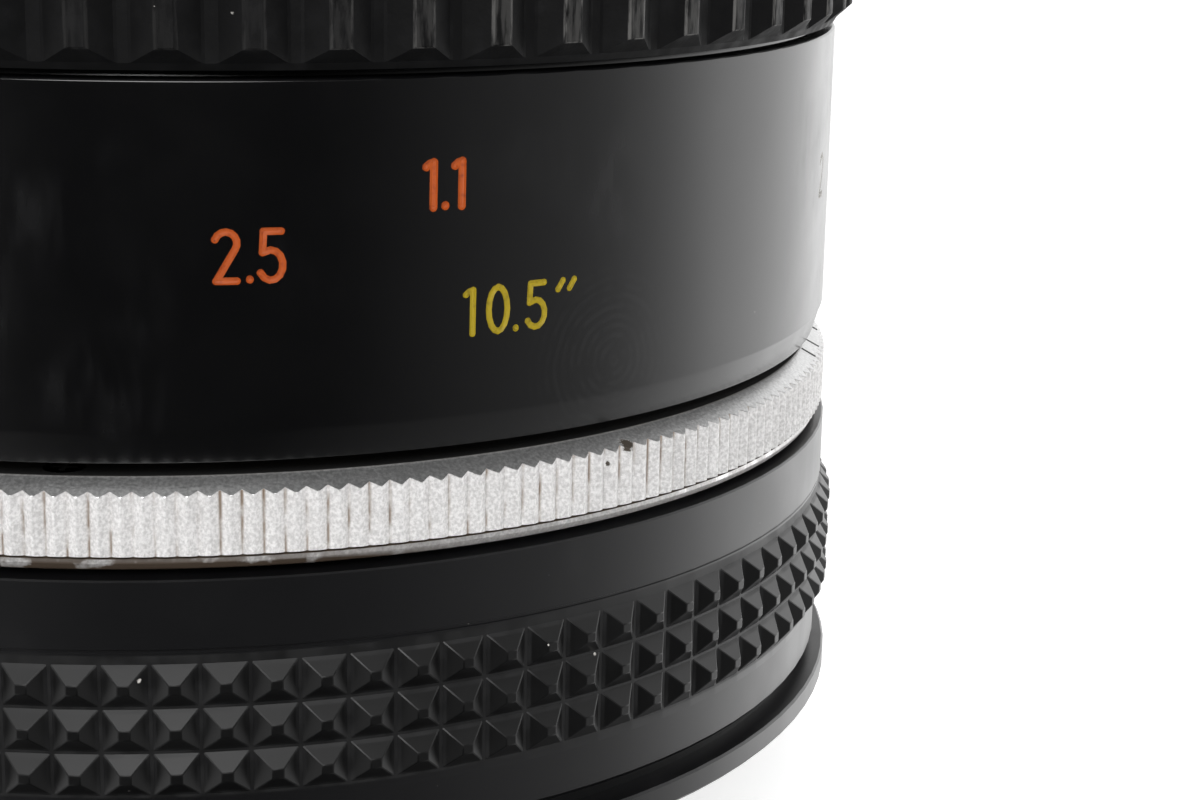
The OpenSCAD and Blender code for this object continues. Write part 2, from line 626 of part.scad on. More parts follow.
bayonet_mount();
mount_screws();
rear_light_baffle();
baffle_screws();
fixed_housing();
grip_ring();
grip_ring_screws();
linear_keys();
key_screws();
click_spring();
click_ball();
lever_return_spring();
stop_down_lever();
aperture_ring();
coupling_prong();
prong_screws();
aperture_link_arm();
link_arm_screws();
focus_sleeve();
focus_grip();
helicoid_nut();
nut_screws();
lens_barrel();
travel_stops();
filter_ring();
focus_ring_retainer();
name_ring();
front_baffle();
optics_tube();
optics_tube_screws();
front_cell();
front_retaining_ring();
front_spacer();
middle_spacer();
lens_element_1();
lens_element_2();
lens_element_3();
iris_housing();
iris_retainer();
iris_cam_ring();
iris_blade_1();
iris_blade_2();
iris_blade_3();
iris_blade_4();
iris_blade_5();
iris_blade_6();
iris_blade_7();
rear_cell();
rear_spacer();
rear_retaining_ring();
lens_element_4();
lens_element_5();
lens_element_6();
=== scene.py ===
# Looks of the close-focus prime lens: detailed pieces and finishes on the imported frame.
# Lengths in the helpers are millimetres; azimuths are degrees from +X about the optical axis, and
# theta is measured from the camera's own azimuth.
import json
import math

import bmesh
import bpy
from mathutils import Matrix, Vector


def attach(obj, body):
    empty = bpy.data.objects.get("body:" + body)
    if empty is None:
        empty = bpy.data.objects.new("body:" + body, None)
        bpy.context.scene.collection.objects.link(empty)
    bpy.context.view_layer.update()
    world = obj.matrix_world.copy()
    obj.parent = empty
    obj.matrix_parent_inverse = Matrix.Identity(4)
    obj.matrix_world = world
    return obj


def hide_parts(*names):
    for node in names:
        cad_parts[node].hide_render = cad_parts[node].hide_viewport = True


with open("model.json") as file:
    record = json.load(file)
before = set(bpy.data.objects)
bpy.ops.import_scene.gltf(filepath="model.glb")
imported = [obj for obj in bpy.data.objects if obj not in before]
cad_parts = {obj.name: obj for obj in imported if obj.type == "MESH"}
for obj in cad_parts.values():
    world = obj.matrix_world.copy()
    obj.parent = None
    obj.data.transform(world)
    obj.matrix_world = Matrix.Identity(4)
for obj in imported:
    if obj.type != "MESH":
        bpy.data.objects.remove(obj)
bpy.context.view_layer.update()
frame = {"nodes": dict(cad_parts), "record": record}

MM = 0.001
AXIS = Vector((0, 0, 1))

# Azimuths of the camera and of the lens's index mark.
CAMERA_AZ = 190.0
INDEX_AZ = 270.0

# Radii and heights that a piece and its finish share.
BARREL_R = 32.0
RIB_CREST_R = 32.8
CHROME_CREST_R = 32.2
CHROME_VALLEY_R = 31.9
CHROME_INNER_R = 31.16
CHROME_FOOT = 15.26
CHROME_SHOULDER = 17.72
CHROME_TOP = 18.26
CHROME_SLOPE = (CHROME_TOP - CHROME_SHOULDER) / (CHROME_CREST_R - CHROME_INNER_R)
KNURL_FOOT = 5.4
KNURL_TOP = 11.0
KNURL_FLOOR_R = 32.27


def facing(theta):
    """Azimuth of a feature seen theta degrees to the right of the camera's own azimuth."""
    return CAMERA_AZ + theta


# ---------------------------------------------------------------- node helpers
def new_group(name, inputs, outputs):
    group = bpy.data.node_groups.new(name, "ShaderNodeTree")
    for label, kind, default in inputs:
        socket = group.interface.new_socket(label, in_out="INPUT", socket_type=kind)
        if default is not None:
            socket.default_value = default
    for label, kind in outputs:
        group.interface.new_socket(label, in_out="OUTPUT", socket_type=kind)
    start = group.nodes.new("NodeGroupInput")
    end = group.nodes.new("NodeGroupOutput")
    return group, start, end


def maths(tree, op, a, b=None, c=None, clamp=False):
    node = tree.nodes.new("ShaderNodeMath")
    node.operation = op
    node.use_clamp = clamp
    for i, v in enumerate((a, b, c)):
        if v is None:
            continue
        if isinstance(v, (int, float)):
            node.inputs[i].default_value = v
        else:
            tree.links.new(v, node.inputs[i])
    return node.outputs[0]


def ramp(tree, value, low, high, to_low=0.0, to_high=1.0, smooth=True):
    """Maps value from low..high to to_low..to_high."""
    node = tree.nodes.new("ShaderNodeMapRange")
    node.interpolation_type = "SMOOTHSTEP" if smooth else "LINEAR"
    for label, v in (("From Min", low), ("From Max", high), ("To Min", to_low), ("To Max", to_high)):
        if isinstance(v, (int, float)):
            node.inputs[label].default_value = v
        else:
            tree.links.new(v, node.inputs[label])
    tree.links.new(value, node.inputs["Value"])
    return node.outputs["Result"]


def noise(tree, vector, scale, detail=2.0, rough=0.5):
    node = tree.nodes.new("ShaderNodeTexNoise")
    node.inputs["Detail"].default_value = detail
    node.inputs["Roughness"].default_value = rough
    if isinstance(scale, (int, float)):
        node.inputs["Scale"].default_value = scale
    else:
        tree.links.new(scale, node.inputs["Scale"])
    tree.links.new(vector, node.inputs["Vector"])
    return node.outputs["Fac"]


def blend_colour(tree, mask, a, b):
    node = tree.nodes.new("ShaderNodeMix")
    node.data_type = "RGBA"
    for i, v in ((6, a), (7, b)):
        if isinstance(v, (tuple, list)):
            node.inputs[i].default_value = (v[0], v[1], v[2], 1.0)
        else:
            tree.links.new(v, node.inputs[i])
    tree.links.new(mask, node.inputs[0])
    return node.outputs[2]


def build_polar_group():
    """Radius, height and turn about the optical axis, in millimetres and degrees."""
    group, start, end = new_group(
        "axis_position",
        [("Position", "NodeSocketVector", None)],
        [("Radius", "NodeSocketFloat"), ("Height", "NodeSocketFloat"), ("Turn", "NodeSocketFloat")],
    )
    parts = group.nodes.new("ShaderNodeSeparateXYZ")
    group.links.new(start.outputs["Position"], parts.inputs[0])
    xx = maths(group, "MULTIPLY", parts.outputs[0], parts.outputs[0])
    yy = maths(group, "MULTIPLY", parts.outputs[1], parts.outputs[1])
    radius = maths(group, "MULTIPLY", maths(group, "SQRT", maths(group, "ADD", xx, yy)), 1000.0)
    turn = maths(group, "ARCTAN2", parts.outputs[1], parts.outputs[0])
    group.links.new(radius, end.inputs["Radius"])
    group.links.new(maths(group, "MULTIPLY", parts.outputs[2], 1000.0), end.inputs["Height"])
    group.links.new(maths(group, "MULTIPLY", turn, 57.29578), end.inputs["Turn"])
    return group


def build_band_group():
    """1 where Value is between Low and High, with soft edges, else 0."""
    group, start, end = new_group(
        "band_mask",
        [("Value", "NodeSocketFloat", None), ("Low", "NodeSocketFloat", 0.0),
         ("High", "NodeSocketFloat", 1.0), ("Soft", "NodeSocketFloat", 0.1)],
        [("Mask", "NodeSocketFloat")],
    )
    value, low, high, soft = (start.outputs[i] for i in range(4))
    rise = ramp(group, value, low, maths(group, "ADD", low, soft))
    fall = ramp(group, value, maths(group, "SUBTRACT", high, soft), high, 1.0, 0.0)
    group.links.new(maths(group, "MULTIPLY", rise, fall), end.inputs["Mask"])
    return group


def build_grain_group():
    """Fine even grain of a blasted or moulded surface."""
    group, start, end = new_group(
        "surface_grain",
        [("Position", "NodeSocketVector", None), ("Grains", "NodeSocketFloat", 9000.0)],
        [("Height", "NodeSocketFloat"), ("Value", "NodeSocketFloat")],
    )
    cells = group.nodes.new("ShaderNodeTexVoronoi")
    cells.feature = "SMOOTH_F1"
    group.links.new(start.outputs["Position"], cells.inputs["Vector"])
    group.links.new(start.outputs["Grains"], cells.inputs["Scale"])
    fine = noise(group, start.outputs["Position"], start.outputs["Grains"], 3.0, 0.6)
    height = maths(group, "ADD", maths(group, "MULTIPLY", cells.outputs["Distance"], 0.7),
                   maths(group, "MULTIPLY", fine, 0.6))
    group.links.new(height, end.inputs["Height"])
    group.links.new(fine, end.inputs["Value"])
    return group


def build_speck_group():
    """Scattered specks of dust or chips: Cells sets how many, Share how many of them show, Size how big."""
    group, start, end = new_group(
        "specks",
        [("Position", "NodeSocketVector", None), ("Cells", "NodeSocketFloat", 700.0),
         ("Share", "NodeSocketFloat", 0.1), ("Size", "NodeSocketFloat", 0.12)],
        [("Mask", "NodeSocketFloat")],
    )
    warp = group.nodes.new("ShaderNodeTexNoise")
    warp.inputs["Scale"].default_value = 2600.0
    group.links.new(start.outputs["Position"], warp.inputs["Vector"])
    shift = group.nodes.new("ShaderNodeVectorMath")
    shift.operation = "MULTIPLY_ADD"
    shift.inputs[1].default_value = (0.0003, 0.0003, 0.0003)
    group.links.new(warp.outputs["Color"], shift.inputs[0])
    group.links.new(start.outputs["Position"], shift.inputs[2])
    cells = group.nodes.new("ShaderNodeTexVoronoi")
    group.links.new(shift.outputs[0], cells.inputs["Vector"])
    group.links.new(start.outputs["Cells"], cells.inputs["Scale"])
    tint = group.nodes.new("ShaderNodeSeparateColor")
    group.links.new(cells.outputs["Color"], tint.inputs[0])
    chosen = maths(group, "LESS_THAN", tint.outputs[0], start.outputs["Share"])
    size = maths(group, "MULTIPLY", start.outputs["Size"], maths(group, "ADD", tint.outputs[1], 0.3))
    near = ramp(group, cells.outputs["Distance"], maths(group, "MULTIPLY", size, 0.5), size, 1.0, 0.0)
    group.links.new(maths(group, "MULTIPLY", chosen, near), end.inputs["Mask"])
    return group


def build_smudge_group():
    """Broad faint handling marks."""
    group, start, end = new_group(
        "smudges",
        [("Position", "NodeSocketVector", None), ("Spread", "NodeSocketFloat", 120.0)],
        [("Mask", "NodeSocketFloat")],
    )
    broad = noise(group, start.outputs["Position"], start.outputs["Spread"], 3.0, 0.55)
    stretch = group.nodes.new("ShaderNodeMapping")
    stretch.inputs["Scale"].default_value = (900, 900, 260)
    stretch.inputs["Rotation"].default_value = (0.4, 0.3, 0.2)
    group.links.new(start.outputs["Position"], stretch.inputs["Vector"])
    streaks = noise(group, stretch.outputs[0], 1.0, 2.0, 0.6)
    marks = maths(group, "MULTIPLY", ramp(group, broad, 0.52, 0.72), ramp(group, streaks, 0.4, 0.7))
    group.links.new(marks, end.inputs["Mask"])
    return group


def build_spot_group():
    """A ragged round spot at Centre, Size across, in metres."""
    group, start, end = new_group(
        "worn_spot",
        [("Position", "NodeSocketVector", None), ("Centre", "NodeSocketVector", None),
         ("Size", "NodeSocketFloat", 0.0004)],
        [("Mask", "NodeSocketFloat")],
    )
    gap = group.nodes.new("ShaderNodeVectorMath")
    gap.operation = "DISTANCE"
    group.links.new(start.outputs["Position"], gap.inputs[0])
    group.links.new(start.outputs["Centre"], gap.inputs[1])
    ragged = noise(group, start.outputs["Position"], 5200.0, 3.0, 0.7)
    reach = maths(group, "MULTIPLY", start.outputs["Size"], maths(group, "MULTIPLY", ragged, 1.2))
    mask = ramp(group, gap.outputs["Value"], maths(group, "MULTIPLY", reach, 0.7), reach, 1.0, 0.0)
    group.links.new(mask, end.inputs["Mask"])
    return group


def build_print_group():
    """Ridges of a finger mark about Centre, as a mask."""
    group, start, end = new_group(
        "finger_mark",
        [("Position", "NodeSocketVector", None), ("Centre", "NodeSocketVector", None),
         ("Size", "NodeSocketFloat", 0.005)],
        [("Mask", "NodeSocketFloat")],
    )
    shift = group.nodes.new("ShaderNodeVectorMath")
    shift.operation = "SUBTRACT"
    group.links.new(start.outputs["Position"], shift.inputs[0])
    group.links.new(start.outputs["Centre"], shift.inputs[1])
    ridges = group.nodes.new("ShaderNodeTexWave")
    ridges.wave_type = "RINGS"
    ridges.rings_direction = "SPHERICAL"
    ridges.inputs["Scale"].default_value = 760.0
    ridges.inputs["Distortion"].default_value = 5.0
    ridges.inputs["Detail"].default_value = 2.0
    ridges.inputs["Detail Scale"].default_value = 0.35
    group.links.new(shift.outputs[0], ridges.inputs["Vector"])
    reach = group.nodes.new("ShaderNodeVectorMath")
    reach.operation = "LENGTH"
    group.links.new(shift.outputs[0], reach.inputs[0])
    near = ramp(group, reach.outputs["Value"], maths(group, "MULTIPLY", start.outputs["Size"], 0.45),
                start.outputs["Size"], 1.0, 0.0)
    broken = ramp(group, noise(group, start.outputs["Position"], 1500.0, 3.0), 0.35, 0.6)
    lines = ramp(group, ridges.outputs["Fac"], 0.35, 0.75)
    shown = maths(group, "MULTIPLY", near, broken)
    group.links.new(maths(group, "MULTIPLY", lines, shown), end.inputs["Mask"])
    return group


POLAR = build_polar_group()
BAND = build_band_group()
GRAIN = build_grain_group()
SPECKS = build_speck_group()
SMUDGES = build_smudge_group()
SPOT = build_spot_group()
FINGER_MARK = build_print_group()


class Finish:
    """A material under construction: its tree, its Principled shader and the object-space position."""

    def __init__(self, name, colour, metallic=0.0, rough=0.4):
        self.material = bpy.data.materials.new(name)
        self.material.use_nodes = True
        self.material.diffuse_color = (colour[0], colour[1], colour[2], 1.0)
        self.tree = self.material.node_tree
        self.shader = self.tree.nodes["Principled BSDF"]
        self.set("Base Color", (colour[0], colour[1], colour[2], 1.0))
        self.set("Metallic", metallic)
        self.set("Roughness", rough)
        self.place = self.tree.nodes.new("ShaderNodeTexCoord").outputs["Object"]
        self.polar = self.group(POLAR, Position=self.place)

    def set(self, label, value):
        self.shader.inputs[label].default_value = value

    def link(self, value, label):
        self.tree.links.new(value, self.shader.inputs[label])

    def group(self, tree, **values):
        node = self.tree.nodes.new("ShaderNodeGroup")
        node.node_tree = tree
        for label, v in values.items():
            socket = node.inputs[label]
            if isinstance(v, (int, float, tuple, Vector)):
                socket.default_value = v
            else:
                self.tree.links.new(v, socket)
        return node

    def band(self, value, low, high, soft=0.1):
        return self.group(BAND, Value=value, Low=low, High=high, Soft=soft).outputs["Mask"]

    def specks(self, cells, share, size):
        return self.group(SPECKS, Position=self.place, Cells=cells, Share=share, Size=size).outputs["Mask"]

    def smudges(self, spread=120.0):
        return self.group(SMUDGES, Position=self.place, Spread=spread).outputs["Mask"]

    def noise(self, scale, detail=2.0, rough=0.5):
        return noise(self.tree, self.place, scale, detail, rough)

    def streaks(self, across, along, detail=2.0):
        """Noise drawn out along the optical axis."""
        node = self.tree.nodes.new("ShaderNodeMapping")
        node.inputs["Scale"].default_value = (across, across, along)
        self.tree.links.new(self.place, node.inputs["Vector"])
        return noise(self.tree, node.outputs[0], 1.0, detail, 0.6)

    def spot(self, theta, radius, height, size):
        a = math.radians(facing(theta))
        centre = (radius * MM * math.cos(a), radius * MM * math.sin(a), height * MM)
        return self.group(SPOT, Position=self.place, Centre=centre, Size=size * MM).outputs["Mask"]

    def side_of(self, azimuth, wave):
        """Sine or cosine of the turn measured from azimuth, in degrees within a half turn of +X."""
        turn = self.maths("SUBTRACT", self.polar.outputs["Turn"], azimuth)
        return self.maths(wave, self.maths("MULTIPLY", turn, math.radians(1)))

    def maths(self, op, a, b=None, c=None, clamp=False):
        return maths(self.tree, op, a, b, c, clamp)

    def ramp(self, value, low, high, to_low=0.0, to_high=1.0):
        return ramp(self.tree, value, low, high, to_low, to_high)

    def mix(self, mask, a, b):
        return blend_colour(self.tree, mask, a, b)

    def bump(self, height, strength, distance):
        node = self.tree.nodes.new("ShaderNodeBump")
        node.inputs["Strength"].default_value = strength
        node.inputs["Distance"].default_value = distance
        self.tree.links.new(height, node.inputs["Height"])
        self.link(node.outputs["Normal"], "Normal")


# ---------------------------------------------------------------- finishes
def black_enamel(name, rough, dust=0.05, ring=False):
    """Satin-gloss black enamel with faint smudges, dust and an orange-peel skin; ring is the knurled one."""
    f = Finish(name, (0.0022, 0.0022, 0.0025), 0.0, rough)
    f.set("IOR", 1.5)
    smudge = f.smudges(110.0)
    peel = f.noise(2600.0, 2.0)
    dirt = f.specks(520.0, dust, 0.055)
    lint = f.specks(1500.0, dust * 0.6, 0.06)
    specks = f.maths("MAXIMUM", dirt, lint)
    tone = 0.0045 if ring else 0.0018
    base = f.mix(smudge, (tone, tone, tone * 1.12), (tone + 0.0024, tone + 0.0024, (tone + 0.0024) * 1.1))
    base = f.mix(f.maths("MULTIPLY", specks, 0.6), base, (0.22, 0.21, 0.2))
    level = f.ramp(f.noise(300.0, 3.0), 0.3, 0.7, rough - 0.02, rough + 0.03)
    level = f.maths("ADD", level, f.maths("MULTIPLY", smudge, 0.1))
    if not ring:
        a = math.radians(facing(32.0))
        centre = (BARREL_R * MM * math.cos(a), BARREL_R * MM * math.sin(a), 21.6 * MM)
        mark = f.group(FINGER_MARK, Position=f.place, Centre=centre, Size=0.0052).outputs["Mask"]
        base = f.mix(f.maths("MULTIPLY", mark, 0.2), base, (0.014, 0.014, 0.0145))
        level = f.maths("ADD", level, f.maths("MULTIPLY", mark, 0.035))
    if ring:
        floors = f.band(f.polar.outputs["Radius"], KNURL_FLOOR_R - 0.17, KNURL_FLOOR_R + 0.13, 0.05)
        knurled = f.band(f.polar.outputs["Height"], KNURL_FOOT - 0.1, KNURL_TOP + 0.35, 0.08)
        base = f.mix(knurled, base, (0.0012, 0.0012, 0.0013))
        level = f.maths("ADD", level, f.maths("MULTIPLY", knurled, 0.1))
        floors = f.maths("MULTIPLY", floors, knurled)
        floors = f.maths("MULTIPLY", floors, f.ramp(f.noise(900.0, 3.0), 0.35, 0.65, 0.35, 1.0))
        base = f.mix(floors, base, (0.007, 0.007, 0.0074))
        bits = f.maths("MULTIPLY", f.specks(900.0, 0.05, 0.16), knurled)
        base = f.mix(bits, base, (0.5, 0.48, 0.45))
        level = f.maths("ADD", level, f.maths("MULTIPLY", floors, 0.12))
    f.link(base, "Base Color")
    f.link(level, "Roughness")
    f.bump(peel, 0.05, 0.00001)
    return f.material


def engraved_paint(name, colour, deep):
    """Paint wiped into the engraving, uneven, with darker patches at random."""
    f = Finish(name, colour, 0.0, 0.55)
    f.set("Specular IOR Level", 0.3)
    patchy = f.ramp(f.noise(4200.0, 3.0), 0.2, 0.5)
    base = f.mix(patchy, deep, colour)
    pits = f.specks(5200.0, 0.08, 0.25)
    f.link(f.mix(pits, base, (deep[0] * 0.4, deep[1] * 0.4, deep[2] * 0.4)), "Base Color")
    f.bump(f.noise(9000.0, 2.0), 0.25, 0.00004)
    return f.material


def grip_rubber():
    """Moulded rubber, grey along the edges and lands of its ribs: partly wear and partly a painted highlight,
    strongest on the brightly lit side right of the camera.
    """
    f = Finish("grip_rubber", (0.0055, 0.0055, 0.006), 0.0, 0.62)
    f.set("IOR", 1.45)
    f.set("Specular IOR Level", 0.2)
    grain = f.group(GRAIN, Position=f.place, Grains=7500.0)
    radius = f.polar.outputs["Radius"]
    # Grey rib edges and lands: partly wear, partly painted highlight; the share grows towards about 48
    # degrees right of the camera, where the surround is bright.
    edge = f.band(radius, RIB_CREST_R - 0.1, RIB_CREST_R - 0.002, 0.03)
    land = f.ramp(radius, RIB_CREST_R - 0.03, RIB_CREST_R - 0.005)
    bright_side_share = f.ramp(f.side_of(-122.0, "COSINE"), 0.7, 1.0, 0.1, 1.0)
    wear_and_highlight = f.maths("MULTIPLY", f.maths("MAXIMUM", edge, f.maths("MULTIPLY", land, 0.42)), bright_side_share)
    wear_and_highlight = f.maths("MULTIPLY", wear_and_highlight, f.ramp(f.streaks(4200.0, 700.0, 3.0), 0.34, 0.6))
    chalk = f.ramp(f.noise(800.0, 4.0), 0.45, 0.75)
    base = f.mix(chalk, (0.0018, 0.0018, 0.002), (0.0038, 0.0038, 0.0042))
    base = f.mix(wear_and_highlight, base, (0.085, 0.083, 0.08))
    dust = f.specks(1300.0, 0.06, 0.07)
    f.link(f.mix(f.maths("MULTIPLY", dust, 0.7), base, (0.3, 0.29, 0.27)), "Base Color")
    level = f.ramp(f.noise(1200.0, 3.0), 0.3, 0.7, 0.5, 0.66)
    f.link(f.maths("SUBTRACT", level, f.maths("MULTIPLY", wear_and_highlight, 0.12)), "Roughness")
    f.bump(grain.outputs["Height"], 0.3, 0.00002)
    return f.material


def satin_chrome():
    """Satin chrome: frosted serrations, a smoother bevel, old dirt in the grooves, dirt and painted shade on
    the lip under them, painted shade in the gap under the barrel, a few chips.
    """
    f = Finish("satin_chrome", (0.82, 0.815, 0.8), 0.6, 0.42)
    grain = f.group(GRAIN, Position=f.place, Grains=7000.0)
    radius, height = f.polar.outputs["Radius"], f.polar.outputs["Height"]
    out = f.maths("SUBTRACT", radius, CHROME_INNER_R)
    cone = f.maths("ADD", height, f.maths("MULTIPLY", out, CHROME_SLOPE))
    bevel = f.ramp(cone, CHROME_TOP - 0.04, CHROME_TOP - 0.01)
    walls = f.maths("MULTIPLY", f.band(height, 15.2, 18.3, 0.02), f.maths("SUBTRACT", 1.0, bevel))
    valley = f.ramp(radius, CHROME_VALLEY_R + 0.01, CHROME_VALLEY_R + 0.09, 1.0, 0.0)
    valley = f.maths("MULTIPLY", valley, walls)
    along = f.ramp(f.streaks(1100.0, 420.0, 3.0), 0.42, 0.6)
    dirt_and_shade = f.maths("MULTIPLY", valley, f.maths("ADD", f.maths("MULTIPLY", along, 0.95), 0.05))
    # Lip darkening: partly dirt, partly painted shade, deeper towards the bottom of the lip where it turns
    # under, and stronger on the left of the view where the surround is dim.
    left = f.ramp(f.side_of(-165.0, "SINE"), -0.15, 0.35, 1.0, 0.0)
    lip_dirt_and_shade = f.ramp(f.noise(850.0, 4.0), 0.28, 0.52)
    lip_dirt_and_shade = f.maths("ADD", lip_dirt_and_shade, f.ramp(height, 14.7, 15.08, 0.75, 0.0))
    lip_dirt_and_shade = f.maths("MULTIPLY", lip_dirt_and_shade, f.maths("ADD", f.maths("MULTIPLY", left, 0.62), 0.33), clamp=True)
    lip = f.maths("MULTIPLY", f.band(height, 14.3, 15.24, 0.1), lip_dirt_and_shade)
    seam = f.band(height, CHROME_FOOT - 0.13, CHROME_FOOT + 0.01, 0.03)
    # Painted shade of the gap under the barrel: the flat top inside the bevel goes near black and the bevel's
    # inner edge darkens.
    outside = f.ramp(radius, CHROME_INNER_R - 0.08, CHROME_INNER_R - 0.02)
    crown = f.ramp(height, CHROME_TOP - 0.06, CHROME_TOP - 0.01)
    gap_shade = f.maths("MULTIPLY", f.maths("SUBTRACT", 1.0, outside), crown)
    rim = f.maths("MULTIPLY", f.maths("MULTIPLY", f.ramp(radius, 31.14, 31.3, 1.0, 0.0), crown), 0.5)
    groove = dirt_and_shade
    # Dark brown marks: dirt in the seam and on the lip, with painted shade on the lip and at the bevel's
    # inner edge by the gap.
    dirt_and_shade = f.maths("MAXIMUM", lip, f.maths("MAXIMUM", seam, rim))
    chips = f.maths("MAXIMUM", f.spot(33.6, 31.95, 17.85, 0.66), f.spot(31.5, 32.05, 17.2, 0.22))
    chips = f.maths("MAXIMUM", chips, f.spot(32.8, 32.1, 16.3, 0.22))
    chips = f.maths("MAXIMUM", chips, f.maths("MULTIPLY", f.specks(620.0, 0.02, 0.07), walls))
    stains = f.maths("MULTIPLY", f.ramp(f.noise(500.0, 4.0), 0.5, 0.72), 0.06)
    sparkle = f.ramp(grain.outputs["Value"], 0.3, 0.72)
    frost = f.mix(sparkle, (0.56, 0.55, 0.545), (0.84, 0.83, 0.825))
    base = f.mix(bevel, frost, f.mix(sparkle, (0.5, 0.5, 0.5), (0.74, 0.74, 0.738)))
    base = f.mix(f.maths("MULTIPLY", groove, 0.9), base, (0.16, 0.105, 0.06))
    base = f.mix(f.maths("MAXIMUM", dirt_and_shade, stains), base, (0.05, 0.034, 0.022))
    base = f.mix(chips, base, (0.045, 0.035, 0.025))
    # Painted shade: near black on the ring's top in the gap under the barrel.
    base = f.mix(gap_shade, base, (0.004, 0.004, 0.004))
    f.link(base, "Base Color")
    # Dulled metal where there is dirt and where shade is painted.
    dirt = f.maths("MULTIPLY", f.maths("MAXIMUM", dirt_and_shade, groove), 0.8)
    dull = f.maths("MAXIMUM", f.maths("MAXIMUM", chips, gap_shade), dirt)
    shine = f.maths("SUBTRACT", 0.85, f.maths("MULTIPLY", walls, 0.45))
    f.link(f.maths("MULTIPLY", shine, f.maths("SUBTRACT", 1.0, dull)), "Metallic")
    level = f.ramp(grain.outputs["Value"], 0.3, 0.7, 0.3, 0.4)
    level = f.maths("ADD", level, f.maths("MULTIPLY", walls, 0.2))
    f.link(f.maths("ADD", level, f.maths("MULTIPLY", dull, 0.25)), "Roughness")
    f.bump(grain.outputs["Height"], 0.45, 0.00002)
    return f.material


def turned_metal(name, colour, rough, pitch=14000.0, metallic=1.0):
    """Machined metal with fine tool rings about the optical axis."""
    f = Finish(name, colour, metallic, rough)
    rings = f.tree.nodes.new("ShaderNodeTexNoise")
    rings.noise_dimensions = "2D"
    pair = f.tree.nodes.new("ShaderNodeCombineXYZ")
    f.tree.links.new(f.polar.outputs["Radius"], pair.inputs[0])
    f.tree.links.new(f.polar.outputs["Height"], pair.inputs[1])
    f.tree.links.new(pair.outputs[0], rings.inputs["Vector"])
    rings.inputs["Scale"].default_value = pitch / 1000.0
    rings.inputs["Detail"].default_value = 3.0
    patina = f.ramp(f.noise(260.0, 4.0), 0.35, 0.75)
    dark = (colour[0] * 0.72, colour[1] * 0.7, colour[2] * 0.68)
    base = f.mix(f.maths("MULTIPLY", patina, 0.6), colour, dark)
    specks = f.specks(900.0, 0.04, 0.08)
    f.link(f.mix(specks, base, (dark[0] * 0.4, dark[1] * 0.4, dark[2] * 0.4)), "Base Color")
    f.link(f.ramp(rings.outputs["Fac"], 0.3, 0.7, rough * 0.8, min(1.0, rough * 1.3)), "Roughness")
    f.bump(rings.outputs["Fac"], 0.12, 0.00001)
    return f.material


def plain_metal(name, colour, rough):
    """Plated or spring metal with a fine random brush."""
    f = Finish(name, colour, 1.0, rough)
    fine = f.noise(6000.0, 3.0, 0.6)
    tone = f.ramp(f.noise(700.0, 3.0), 0.35, 0.7)
    dark = (colour[0] * 0.7, colour[1] * 0.7, colour[2] * 0.7)
    f.link(f.mix(f.maths("MULTIPLY", tone, 0.5), colour, dark), "Base Color")
    f.link(f.ramp(fine, 0.3, 0.7, rough * 0.8, rough * 1.3), "Roughness")
    f.bump(fine, 0.08, 0.00001)
    return f.material


def matt_black(name, colour, rough):
    """Matt black anodising with a trace of dust and lighter patches at random."""
    f = Finish(name, colour, 0.0, rough)
    fine = f.noise(5200.0, 4.0, 0.6)
    tone = f.ramp(f.noise(400.0, 3.0), 0.4, 0.7)
    base = f.mix(tone, colour, (colour[0] * 1.7, colour[1] * 1.7, colour[2] * 1.7))
    dust = f.specks(1100.0, 0.06, 0.07)
    f.link(f.mix(f.maths("MULTIPLY", dust, 0.6), base, (0.25, 0.24, 0.23)), "Base Color")
    f.link(f.ramp(fine, 0.3, 0.7, rough - 0.06, rough + 0.08), "Roughness")
    f.bump(fine, 0.15, 0.00001)
    return f.material


def coated_glass(name, tint):
    """Clear glass with a coloured anti-reflection coating and a little dust."""
    f = Finish(name, (0.97, 0.985, 0.98), 0.0, 0.0)
    f.set("Transmission Weight", 1.0)
    f.set("IOR", 1.55)
    f.set("Specular Tint", (tint[0], tint[1], tint[2], 1.0))
    dust = f.specks(1400.0, 0.05, 0.05)
    f.link(f.mix(dust, (0.97, 0.985, 0.98), (0.6, 0.6, 0.6)), "Base Color")
    f.link(f.maths("MULTIPLY", dust, 0.5), "Roughness")
    return f.material


ENAMEL_BARREL = black_enamel("black_enamel_barrel", 0.2)
ENAMEL_RING = black_enamel("black_enamel_aperture_ring", 0.3, 0.06, True)
ENAMEL_FRONT = black_enamel("black_enamel_front", 0.3)
ORANGE = engraved_paint("engraved_orange", (0.35, 0.062, 0.005), (0.19, 0.026, 0.003))
YELLOW = engraved_paint("engraved_yellow", (0.305, 0.225, 0.005), (0.17, 0.125, 0.004))
WHITE = engraved_paint("engraved_white", (0.5, 0.49, 0.47), (0.3, 0.29, 0.28))
RUBBER = grip_rubber()
CHROME = satin_chrome()
INDEX_BLACK = engraved_paint("index_black", (0.012, 0.012, 0.013), (0.006, 0.006, 0.006))
BRIGHT_STEEL = turned_metal("bright_steel", (0.74, 0.735, 0.72), 0.22, 22000.0)
SCREW_STEEL = plain_metal("screw_steel", (0.55, 0.55, 0.56), 0.3)
SPRING_STEEL = plain_metal("spring_steel", (0.5, 0.49, 0.47), 0.34)
BLADE_STEEL = plain_metal("blade_steel", (0.09, 0.095, 0.11), 0.38)
BRASS = turned_metal("turned_brass", (0.7, 0.5, 0.23), 0.3, 12000.0)
ALUMINIUM = turned_metal("turned_aluminium", (0.66, 0.66, 0.66), 0.36, 12000.0)
ANODISED = matt_black("matt_black_anodised", (0.011, 0.011, 0.012), 0.55)
INNER_GLASS = coated_glass("coated_glass_inner", (0.85, 0.6, 0.5))

